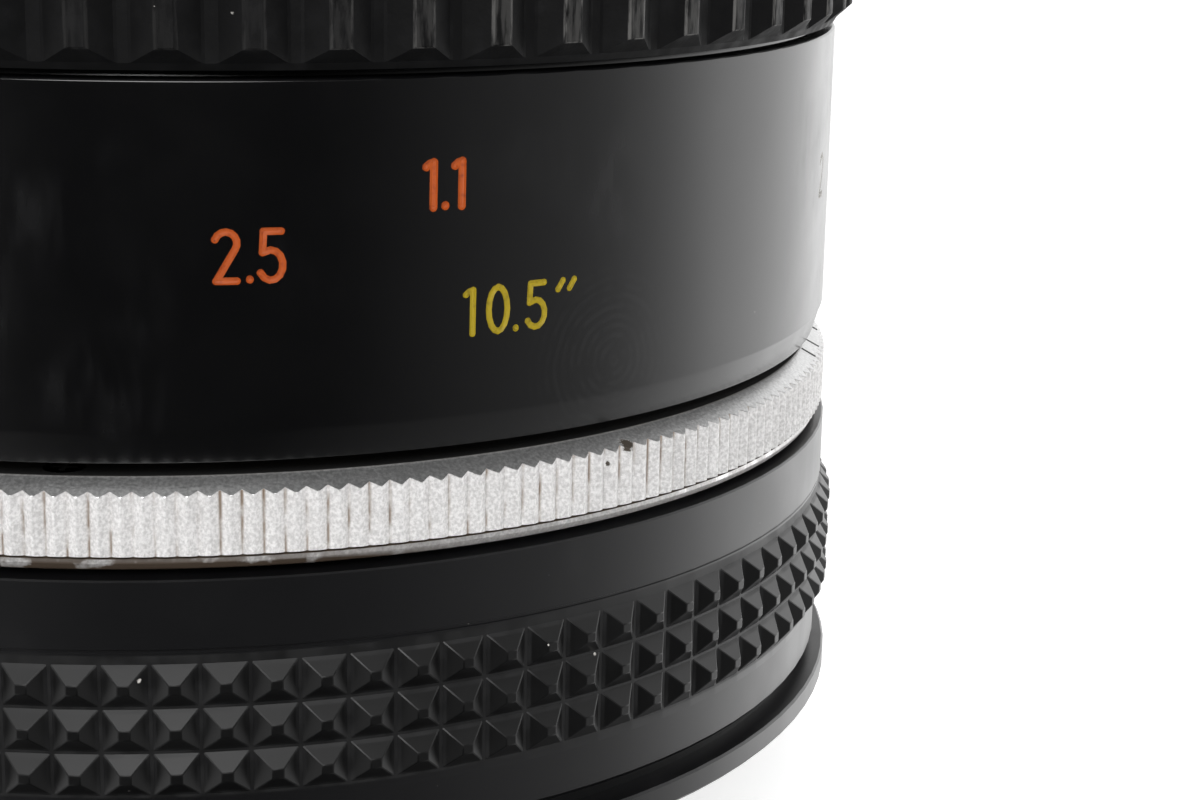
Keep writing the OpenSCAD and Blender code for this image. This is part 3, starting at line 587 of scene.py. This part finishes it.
SLOT_FINISH = {
    "black_enamel": ENAMEL_FRONT, "grip_rubber": RUBBER, "satin_chrome": CHROME, "bright_steel": BRIGHT_STEEL,
    "screw_steel": SCREW_STEEL, "spring_steel": SPRING_STEEL, "blade_steel": BLADE_STEEL, "brass": BRASS,
    "bare_aluminium": ALUMINIUM, "black_anodised": ANODISED, "optical_glass": INNER_GLASS,
}


# ---------------------------------------------------------------- mesh helpers
def section(points):
    """A bmesh holding one closed outline in the plane of the axis, from (radius, height) pairs."""
    bm = bmesh.new()
    verts = [bm.verts.new((r * MM, 0, z * MM)) for r, z in points]
    for a, b in zip(verts, verts[1:] + verts[:1]):
        bm.edges.new((a, b))
    return bm


def swing(bm, geom, degrees, steps):
    """Spins geom about the optical axis and gives back the last copy."""
    made = bmesh.ops.spin(bm, geom=geom, cent=(0, 0, 0), axis=AXIS, dvec=(0, 0, 0),
                          angle=math.radians(degrees), steps=steps, use_duplicate=False)
    return made["geom_last"]


def copies_round(bm, count):
    """Repeats everything in bm so that there are count of it round the optical axis."""
    whole = bm.verts[:] + bm.edges[:] + bm.faces[:]
    bmesh.ops.spin(bm, geom=whole, cent=(0, 0, 0), axis=AXIS, dvec=(0, 0, 0),
                   angle=math.tau * (count - 1) / count, steps=count - 1, use_duplicate=True)


def turn_all(bm, degrees):
    about = Matrix.Rotation(math.radians(degrees), 3, "Z")
    bmesh.ops.rotate(bm, verts=bm.verts, cent=(0, 0, 0), matrix=about)


def clean(bm):
    bmesh.ops.remove_doubles(bm, verts=bm.verts, dist=2e-6)
    bmesh.ops.recalc_face_normals(bm, faces=bm.faces)


def finish_piece(name, bm, materials, body, nodes=(), sharp=30):
    """Turns bm into a piece that rides on body and stands for the CAD nodes given."""
    clean(bm)
    for face in bm.faces:
        face.smooth = True
    for edge in bm.edges:
        edge.smooth = not (len(edge.link_faces) == 2 and edge.calc_face_angle(0) > math.radians(sharp))
    mesh = bpy.data.meshes.new(name)
    bm.to_mesh(mesh)
    bm.free()
    for material in materials:
        mesh.materials.append(material)
    return place_piece(name, mesh, body, nodes)


def place_piece(name, mesh, body, nodes=()):
    piece = bpy.data.objects.new(name, mesh)
    bpy.context.scene.collection.objects.link(piece)
    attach(piece, body)
    if nodes:
        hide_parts(*nodes)
    return piece


def turned_ring(points, steps=256, round_off=0.05, min_angle=25):
    """A closed ring turned from its section, with its corners rounded off."""
    bm = section(points)
    if round_off:
        corners = []
        for v in bm.verts:
            a, b = (e.other_vert(v).co - v.co for e in v.link_edges)
            if math.degrees(math.pi - a.angle(b)) > min_angle:
                corners.append(v)
        bmesh.ops.bevel(bm, geom=corners, offset=round_off * MM, offset_type="OFFSET", segments=2,
                        profile=0.5, affect="VERTICES", material=-1, clamp_overlap=True)
    geom = bm.verts[:] + bm.edges[:]
    bmesh.ops.spin(bm, geom=geom, cent=(0, 0, 0), axis=AXIS, dvec=(0, 0, 0),
                   angle=math.tau, steps=steps, use_merge=True)
    return bm


# ---------------------------------------------------------------- engraving
# Strokes of each sign on a cell 1 high, as an engraver's single line: lists of (x, y) points.
def arc(cx, cy, rx, ry, start, end, count=9):
    step = (end - start) / (count - 1)
    return [(cx + rx * math.cos(math.radians(start + i * step)),
             cy + ry * math.sin(math.radians(start + i * step))) for i in range(count)]


SIGNS = {
    "0": (0.51, [arc(0.2, 0.5, 0.2, 0.5, 90, 450, 17)]),
    "1": (0.3, [[(0.0, 0.89), (0.06, 0.95), (0.15, 0.98), (0.14, 0.0)]]),
    "2": (0.51, [arc(0.19, 0.77, 0.19, 0.23, 160, -35, 9) + [(0.02, 0.0), (0.37, 0.0)]]),
    "3": (0.5, [arc(0.18, 0.76, 0.19, 0.24, 150, -70, 9) + arc(0.18, 0.27, 0.22, 0.27, 75, -150, 9)]),
    "4": (0.52, [[(0.32, 0.0), (0.32, 1.0), (0.0, 0.3), (0.46, 0.3)]]),
    "5": (0.5, [[(0.35, 1.0), (0.05, 1.0), (0.03, 0.57)] + arc(0.17, 0.31, 0.205, 0.31, 118, -150, 11)]),
    "6": (0.5, [[(0.32, 1.0)] + arc(0.2, 0.3, 0.2, 0.3, 155, 515, 17)]),
    "8": (0.5, [arc(0.2, 0.76, 0.17, 0.22, 270, 630, 15), arc(0.2, 0.27, 0.21, 0.27, 90, 450, 15)]),
    ".": (0.07, [[(-0.02, 0.02), (-0.02, 0.03)]]),
    " ": (-0.02, []),
    '"': (0.5, [[(0.0, 0.8), (0.11, 0.99)], [(0.27, 0.8), (0.38, 0.99)]]),
    ":": (0.12, [[(0.03, 0.2), (0.03, 0.21)], [(0.03, 0.7), (0.03, 0.71)]]),
}


def strokes_of(text, height, spacing=0.1, widen=1.18):
    """Lines of the text in millimetres, its foot at 0 and centred left to right, split at sharp corners."""
    x, lines = 0.0, []
    for sign in text:
        width, parts = SIGNS[sign]
        for part in parts:
            points = [((x + px) * height * widen, py * height) for px, py in part]
            start = 0
            for i in range(1, len(points) - 1):
                into = Vector(points[i]) - Vector(points[i - 1])
                out = Vector(points[i + 1]) - Vector(points[i])
                if into.angle(out) > math.radians(38):
                    lines.append(points[start:i + 1])
                    start = i
            lines.append(points[start:])
        x += width + spacing
    total = (x - spacing - 0.08) * height * widen
    return [[(px - total / 2, py) for px, py in line] for line in lines]


def round_cutter(name, lines, radius, azimuth, foot, stroke):
    """Round-nosed cutter that follows the lines wrapped on a cylinder of the given radius."""
    def wrapped(px, py):
        a = math.radians(azimuth) + px / radius
        return Vector((radius * MM * math.cos(a), radius * MM * math.sin(a), (foot + py) * MM))

    curve = bpy.data.curves.new(name, "CURVE")
    curve.dimensions = "3D"
    curve.bevel_depth = stroke * MM / 2
    curve.bevel_resolution = 2
    curve.use_fill_caps = True
    for line in lines:
        closed = math.dist(line[0], line[-1]) < 1e-6
        points = line[:-1] if closed else line
        spline = curve.splines.new("POLY")
        spline.use_cyclic_u = closed
        spline.points.add(len(points) - 1)
        for point, (px, py) in zip(spline.points, points):
            point.co = wrapped(px, py).to_4d()
    holder = bpy.data.objects.new(name, curve)
    bpy.context.scene.collection.objects.link(holder)
    bpy.context.view_layer.update()
    mesh = bpy.data.meshes.new_from_object(holder.evaluated_get(bpy.context.evaluated_depsgraph_get()))
    bpy.data.objects.remove(holder)
    bpy.data.curves.remove(curve)
    bm = bmesh.new()
    bm.from_mesh(mesh)
    bmesh.ops.remove_doubles(bm, verts=bm.verts, dist=1e-7)
    ends = []
    for line in lines:
        if math.dist(line[0], line[-1]) > 1e-6:
            ends += [end for end in (line[0], line[-1]) if all(math.dist(end, e) > 1e-4 for e in ends)]
    for px, py in ends:
        bmesh.ops.create_icosphere(bm, subdivisions=2, radius=stroke * MM / 2,
                                   matrix=Matrix.Translation(wrapped(px, py)))
    bmesh.ops.recalc_face_normals(bm, faces=bm.faces)
    bm.to_mesh(mesh)
    bm.free()
    return mesh


def engrave(piece, cutters, skin_radius):
    """Cuts each (mesh, material) into the piece, keeps the paint, and holds the skin's round shading."""
    paints = []
    bm = bmesh.new()
    for mesh, paint in cutters:
        if paint not in paints:
            paints.append(paint)
        already = len(bm.faces)
        bm.from_mesh(mesh)
        bm.faces.ensure_lookup_table()
        for face in bm.faces[already:]:
            face.material_index = paints.index(paint)
    tool_mesh = bpy.data.meshes.new("cutter")
    bm.to_mesh(tool_mesh)
    bm.free()
    for paint in paints:
        tool_mesh.materials.append(paint)
    tool = bpy.data.objects.new("cutter", tool_mesh)
    bpy.context.scene.collection.objects.link(tool)
    cut = piece.modifiers.new("engraving", "BOOLEAN")
    cut.operation = "DIFFERENCE"
    cut.solver = "EXACT"
    cut.use_self = True
    cut.material_mode = "TRANSFER"
    cut.object = tool
    bpy.context.view_layer.update()
    result = bpy.data.meshes.new_from_object(piece.evaluated_get(bpy.context.evaluated_depsgraph_get()))
    piece.modifiers.remove(cut)
    piece.data = result
    bpy.data.objects.remove(tool)
    hold_round_shading(piece.data, skin_radius)


def hold_round_shading(mesh, *skins):
    """Gives the faces on each cylinder of the radii in skins the cylinder's own normals."""
    normals = [Vector(c.vector) for c in mesh.corner_normals]
    for polygon in mesh.polygons:
        corners = [mesh.vertices[v].co for v in polygon.vertices]
        reach = [c.xy.length / MM for c in corners]
        tall = max(c.z for c in corners) - min(c.z for c in corners)
        if tall > 0.1 * MM and any(all(abs(r - skin) < 0.004 for r in reach) for skin in skins):
            for loop, c in zip(polygon.loop_indices, corners):
                normals[loop] = Vector((c.x, c.y, 0)).normalized()
    mesh.normals_split_custom_set(normals)


# ---------------------------------------------------------------- focusing ring
def build_focus_sleeve():
    """Black sleeve with a chamfered foot and the engraved, paint-filled scale."""
    points = [(31.6, 18.9), (31.92, 20.06), (32.0, 20.24), (32.0, 33.58), (31.9, 33.68), (31.2, 33.68),
              (31.2, 48.5), (31.9, 48.5), (31.9, 49.25), (31.5, 49.7), (29.98, 49.7), (29.98, 47.2),
              (30.6, 47.2), (30.6, 18.9)]
    bm = turned_ring(points, 240, 0.025, 40)
    sleeve = finish_piece("focus_sleeve_body", bm, [ENAMEL_BARREL], "focus", ["focus_sleeve"])
    scale = [
        ("2.5", 3.67, 26.08, 1.88, 0.32, ORANGE), ("1.1", 17.45, 28.62, 1.78, 0.37, ORANGE),
        ('1 0. 5 "', 23.6, 23.5, 1.78, 0.3, YELLOW), ("2", 66.5, 26.08, 1.86, 0.33, WHITE),
        ("1:2", -40, 23.5, 1.8, 0.31, YELLOW), ("0.3", -75, 28.6, 1.8, 0.35, ORANGE),
        ("0.4", 100, 28.6, 1.8, 0.35, ORANGE), ("3", -58, 26.08, 1.88, 0.33, WHITE),
        ("4", -95, 26.08, 1.88, 0.33, WHITE), ("5", -130, 26.08, 1.88, 0.33, WHITE),
        ("0.5", 132, 28.6, 1.8, 0.35, ORANGE), ("0.6", 165, 28.6, 1.8, 0.35, ORANGE),
        ("8", -165, 26.08, 1.88, 0.33, WHITE), ("11", 115, 23.5, 1.8, 0.31, YELLOW),
    ]
    cutters = []
    for text, theta, foot, height, stroke, paint in scale:
        lines = strokes_of(text, height)
        tool = round_cutter("scale_cutter", lines, BARREL_R + 0.04, facing(theta), foot, stroke)
        cutters.append((tool, paint))
    engrave(sleeve, cutters, BARREL_R)
    return sleeve


def build_focus_grip():
    """Rubber sleeve with 64 ribs whose ends are cut to a point by a bevel."""
    low, high, root, crest = 33.98, 48.44, 32.12, RIB_CREST_R
    brim, rise = 0.28, 0.62
    points = [(31.22, low), (root - 0.16, low), (root, low + brim), (root + 0.02, low + brim + 0.1),
              (root + 0.02, high - brim - 0.1), (root, high - brim), (root - 0.16, high), (31.22, high)]
    bm = section(points)
    pitch = 360 / 64
    columns = [-0.5, -0.44, -0.4, -0.12, -0.085, 0.085, 0.12, 0.4, 0.44, 0.5]
    lift = [0.0, 0.0, 0.05, 0.94, 1.0, 1.0, 0.94, 0.05, 0.0, 0.0]
    turn_all(bm, pitch * columns[0])
    geom = bm.verts[:] + bm.edges[:]
    for a, b in zip(columns, columns[1:]):
        geom = swing(bm, geom, pitch * (b - a), 1)
    middle = (low + high) / 2
    for v in bm.verts:
        r, a = v.co.xy.length / MM, math.degrees(math.atan2(v.co.y, v.co.x)) / pitch
        if r < root + 0.01:
            continue
        column = min(range(len(columns)), key=lambda i: abs(columns[i] - a))
        side = 1 if v.co.z / MM < middle else -1
        v.co.xy = v.co.xy.normalized() * (root + lift[column] * (crest - root)) * MM
        v.co.z += side * (lift[column] * rise - 0.1) * MM
    copies_round(bm, 64)
    turn_all(bm, 2.8)
    return finish_piece("focus_grip_rubber", bm, [RUBBER], "focus", ["focus_grip"], 13)


# ---------------------------------------------------------------- chrome ring
def build_grip_ring():
    """Chrome ring: rolled lip, 240 V grooves that run out through a shallow bevel."""
    crest, valley, pitch = CHROME_CREST_R, CHROME_VALLEY_R, 360 / 240
    foot, shoulder, inner, top = CHROME_FOOT, CHROME_SHOULDER, CHROME_INNER_R, CHROME_TOP
    points = [(30.72, 14.62), (31.6, 14.62), (31.86, 14.74), (31.98, 14.98), (31.96, 15.16), (31.86, 15.22),
              (32.0, foot), (32.0, shoulder), (inner, top), (29.04, top), (29.04, 16.42), (30.72, 16.42)]
    bm = section(points)
    columns = [-0.5, -0.05, 0.05, 0.5]
    turn_all(bm, pitch * columns[0])
    geom = bm.verts[:] + bm.edges[:]
    for a, b in zip(columns, columns[1:]):
        geom = swing(bm, geom, pitch * (b - a), 1)
    for v in bm.verts:
        r, z, a = v.co.xy.length / MM, v.co.z / MM, math.degrees(math.atan2(v.co.y, v.co.x)) / pitch
        if r > 31.9 and abs(z - foot) < 0.01:
            r = crest if abs(a) < 0.3 else valley + 0.02
            v.co.z = (foot + 0.05) * MM if abs(a) < 0.3 else (foot - 0.03) * MM
        elif abs(z - shoulder) < 0.01:
            r = crest if abs(a) < 0.3 else valley
            v.co.z = (shoulder + CHROME_SLOPE * (crest - r)) * MM
        else:
            continue
        v.co.xy = v.co.xy.normalized() * r * MM
    edges = [e for e in bm.edges if all(v.co.xy.length > 32.15 * MM for v in e.verts)]
    bmesh.ops.bevel(bm, geom=edges, offset=0.02 * MM, offset_type="OFFSET", segments=1, profile=0.5,
                    affect="EDGES", material=-1, clamp_overlap=True)
    copies_round(bm, 240)
    turn_all(bm, 0.13)
    return finish_piece("grip_ring_chrome", bm, [CHROME], "root", ["grip_ring"], 20)


def build_index_marks():
    """Index line on the chrome ring's bevel and the small depth marks beside it."""
    bm = bmesh.new()
    for offset, width in ((0.0, 0.34), (-7.0, 0.2), (7.0, 0.2), (-11.0, 0.2), (11.0, 0.2)):
        made = bmesh.ops.create_cube(bm, size=1.0)["verts"]
        bmesh.ops.scale(bm, verts=made, vec=(0.8 * MM, width * MM, 0.03 * MM))
        bmesh.ops.rotate(bm, verts=made, cent=(0, 0, 0), matrix=Matrix.Rotation(math.radians(27.4), 3, "Y"))
        bmesh.ops.translate(bm, verts=made, vec=(31.6 * MM, 0, 18.03 * MM))
        bmesh.ops.rotate(bm, verts=made, cent=(0, 0, 0),
                         matrix=Matrix.Rotation(math.radians(INDEX_AZ + offset), 3, "Z"))
    return finish_piece("index_marks", bm, [INDEX_BLACK], "root", ())


# ---------------------------------------------------------------- aperture ring
def build_aperture_ring():
    """Black ring with three rows of truncated pyramids, a plain band for the stops and a rolled rim."""
    z0, z1, rows, floor_r = KNURL_FOOT, KNURL_TOP, 3, KNURL_FLOOR_R
    step = (z1 - z0) / rows
    points = [(29.02, 1.0), (32.65, 1.0), (32.85, 1.2), (32.85, 2.1), (32.75, 2.2), (31.6, 2.22),
              (31.6, 2.78),
              (32.1, 2.9), (32.25, 3.1), (32.25, 5.0), (floor_r, 5.1)]
    for i in range(rows):
        points += [(floor_r, z0 + (i + 0.032) * step), (floor_r, z0 + (i + 0.968) * step)]
    points += [(floor_r, 11.4), (32.22, 11.44), (32.22, 11.52), (32.3, 11.56), (32.3, 14.31),
               (32.22, 14.38), (29.02, 14.38)]
    bm = section(points)
    pitch = 360 / 104
    turn_all(bm, pitch * -0.5)
    geom = bm.verts[:] + bm.edges[:]
    geom = swing(bm, geom, pitch * 0.035, 1)
    geom = swing(bm, geom, pitch * 0.93, 1)
    geom = swing(bm, geom, pitch * 0.035, 1)
    bmesh.ops.recalc_face_normals(bm, faces=bm.faces)
    outer = [f for f in bm.faces if f.calc_center_median().xy.length > 31.9 * MM]
    if sum(f.normal.x for f in outer) < 0:
        bmesh.ops.reverse_faces(bm, faces=bm.faces)
    seats = []
    for f in bm.faces:
        mid = f.calc_center_median()
        tall = (max(v.co.z for v in f.verts) - min(v.co.z for v in f.verts)) / MM
        wide = (max(v.co.y for v in f.verts) - min(v.co.y for v in f.verts)) / MM
        if abs(mid.xy.length / MM - floor_r) < 0.08 and z0 < mid.z / MM < z1 and tall > 1.4 and wide > 1.2:
            seats.append(f)
    bmesh.ops.inset_individual(bm, faces=seats, thickness=0.68 * MM, depth=0.58 * MM, use_even_offset=True)
    lands = set(seats)
    ridges = set()
    for f in lands:
        ridges.update(f.edges)
        for v in f.verts:
            ridges.update(v.link_edges)
    bmesh.ops.bevel(bm, geom=list(ridges), offset=0.035 * MM, offset_type="OFFSET", segments=1, profile=0.5,
                    affect="EDGES", material=-1, clamp_overlap=True)
    copies_round(bm, 104)
    turn_all(bm, 1.13)
    ring = finish_piece("aperture_ring_body", bm, [ENAMEL_RING], "aperture", ["aperture_ring"],
                        20)
    hold_round_shading(ring.data, 32.3, 32.25, 32.85)
    return ring


def build_stop_numbers():
    """Painted stop numbers on the aperture ring's band, smallest opening at the index."""
    bm = bmesh.new()
    for i, text in enumerate(("32", "22", "16", "11", "8", "5.6", "4", "2.8")):
        lines = strokes_of(text, 1.45)
        mesh = round_cutter("stop_number", lines, 32.2, INDEX_AZ + i * 7.0, 12.2, 0.25)
        bm.from_mesh(mesh)
    return finish_piece("stop_numbers", bm, [WHITE], "aperture", (), 60)


# ---------------------------------------------------------------- stage, lights and camera
def build_floor():
    bm = bmesh.new()
    bmesh.ops.create_grid(bm, x_segments=2, y_segments=2, size=3.0)
    bmesh.ops.translate(bm, verts=bm.verts, vec=(0, 0, -8.02 * MM))
    mesh = bpy.data.meshes.new("floor")
    bm.to_mesh(mesh)
    bm.free()
    floor = bpy.data.objects.new("floor", mesh)
    bpy.context.scene.collection.objects.link(floor)
    f = Finish("pale_floor", (0.85, 0.85, 0.85), 0.0, 0.9)
    f.set("Emission Color", (1.0, 1.0, 1.0, 1.0))
    f.set("Emission Strength", 0.55)
    f.link(f.ramp(f.noise(30.0, 2.0), 0.3, 0.7, 0.88, 0.93), "Roughness")
    mesh.materials.append(f.material)
    floor.visible_glossy = False
    return floor


def build_surround():
    """Soft studio surround: bright behind and to the sides, dark in front, white as seen directly."""
    world = bpy.data.worlds.new("studio_surround")
    bpy.context.scene.world = world
    world.use_nodes = True
    tree = world.node_tree
    back = tree.nodes["Background"]
    look = tree.nodes.new("ShaderNodeTexCoord").outputs["Generated"]

    def towards(weight_out, weight_side):
        a, b = math.radians(CAMERA_AZ), math.radians(CAMERA_AZ + 90)
        out = Vector((math.cos(a), math.sin(a), 0))
        side = Vector((math.cos(b), math.sin(b), 0))
        node = tree.nodes.new("ShaderNodeVectorMath")
        node.operation = "DOT_PRODUCT"
        node.inputs[1].default_value = out * weight_out + side * weight_side
        tree.links.new(look, node.inputs[0])
        return node.outputs["Value"]

    def falloff(value, levels):
        node = tree.nodes.new("ShaderNodeValToRGB")
        node.color_ramp.interpolation = "B_SPLINE"
        stops = node.color_ramp.elements
        while len(stops) < len(levels):
            stops.new(0.5)
        for stop, (at, level) in zip(stops, levels):
            stop.position = at
            stop.color = (level, level, level, 1.0)
        tree.links.new(ramp(tree, value, -1.0, 1.0, 0.0, 1.0, False), node.inputs[0])
        tint = tree.nodes.new("ShaderNodeSeparateColor")
        tree.links.new(node.outputs[0], tint.inputs[0])
        return tint.outputs[0]

    right = falloff(towards(-0.5, 0.85), [(0.0, 0.003), (0.4, 0.003), (0.5, 0.03), (0.66, 0.155),
                                          (0.82, 0.215), (0.93, 0.68), (1.0, 1.75)])
    left = falloff(towards(-0.5, -0.85), [(0.0, 0.003), (0.42, 0.003), (0.52, 0.025), (0.66, 0.2),
                                          (0.82, 0.44), (0.93, 0.62), (1.0, 0.8)])
    total = maths(tree, "MULTIPLY", maths(tree, "ADD", right, left), 2.0)
    seen = tree.nodes.new("ShaderNodeLightPath").outputs["Is Camera Ray"]
    level = tree.nodes.new("ShaderNodeMix")
    level.data_type = "FLOAT"
    level.inputs[3].default_value = 0.97
    tree.links.new(seen, level.inputs[0])
    tree.links.new(total, level.inputs[2])
    tree.links.new(level.outputs[0], back.inputs["Strength"])
    back.inputs["Color"].default_value = (1, 1, 1, 1)


def build_softbox(name, theta, elevation, distance, size, power):
    light = bpy.data.lights.new(name, "AREA")
    light.shape = "DISK"
    light.size = size
    light.energy = power
    light.specular_factor = 0.06
    a, e = math.radians(facing(theta)), math.radians(elevation)
    away = Vector((math.cos(a) * math.cos(e), math.sin(a) * math.cos(e), math.sin(e)))
    lamp = bpy.data.objects.new(name, light)
    bpy.context.scene.collection.objects.link(lamp)
    lamp.location = away * distance + Vector((0, 0, 0.02))
    lamp.rotation_euler = away.to_track_quat("Z", "Y").to_euler()
    return lamp


def build_camera():
    """Close view of the focus scale, looking slightly down."""
    data = bpy.data.cameras.new("close_view")
    data.sensor_width = 36.0
    data.lens = 70.47
    data.clip_start = 0.005
    data.clip_end = 20.0
    down, across, tilt = math.radians(14.27), math.radians(10.025), math.radians(1.3345)
    ahead = Vector((math.sin(across) * math.cos(down), math.cos(across) * math.cos(down), -math.sin(down)))
    level = Vector((math.cos(across), -math.sin(across), 0))
    above = level.cross(ahead)
    right = math.cos(tilt) * level + math.sin(tilt) * above
    up = -math.sin(tilt) * level + math.cos(tilt) * above
    place = Matrix((right, up, -ahead)).transposed().to_4x4()
    place.translation = Vector((0, -119.92, 43.88)) * MM
    camera = bpy.data.objects.new("camera", data)
    bpy.context.scene.collection.objects.link(camera)
    camera.matrix_world = Matrix.Rotation(math.radians(CAMERA_AZ + 90), 4, "Z") @ place
    bpy.context.scene.camera = camera


for part in frame["record"]["subparts"]:
    mesh = frame["nodes"][part["node"]].data
    mesh.materials.clear()
    mesh.materials.append(SLOT_FINISH[part["material_slot"]])

build_camera()
build_focus_sleeve()
build_focus_grip()
build_grip_ring()
build_index_marks()
build_aperture_ring()
build_stop_numbers()
build_floor()
build_surround()
build_softbox("key", -8, 34, 0.5, 0.32, 2.1)
bpy.context.scene.view_settings.view_transform = "Standard"
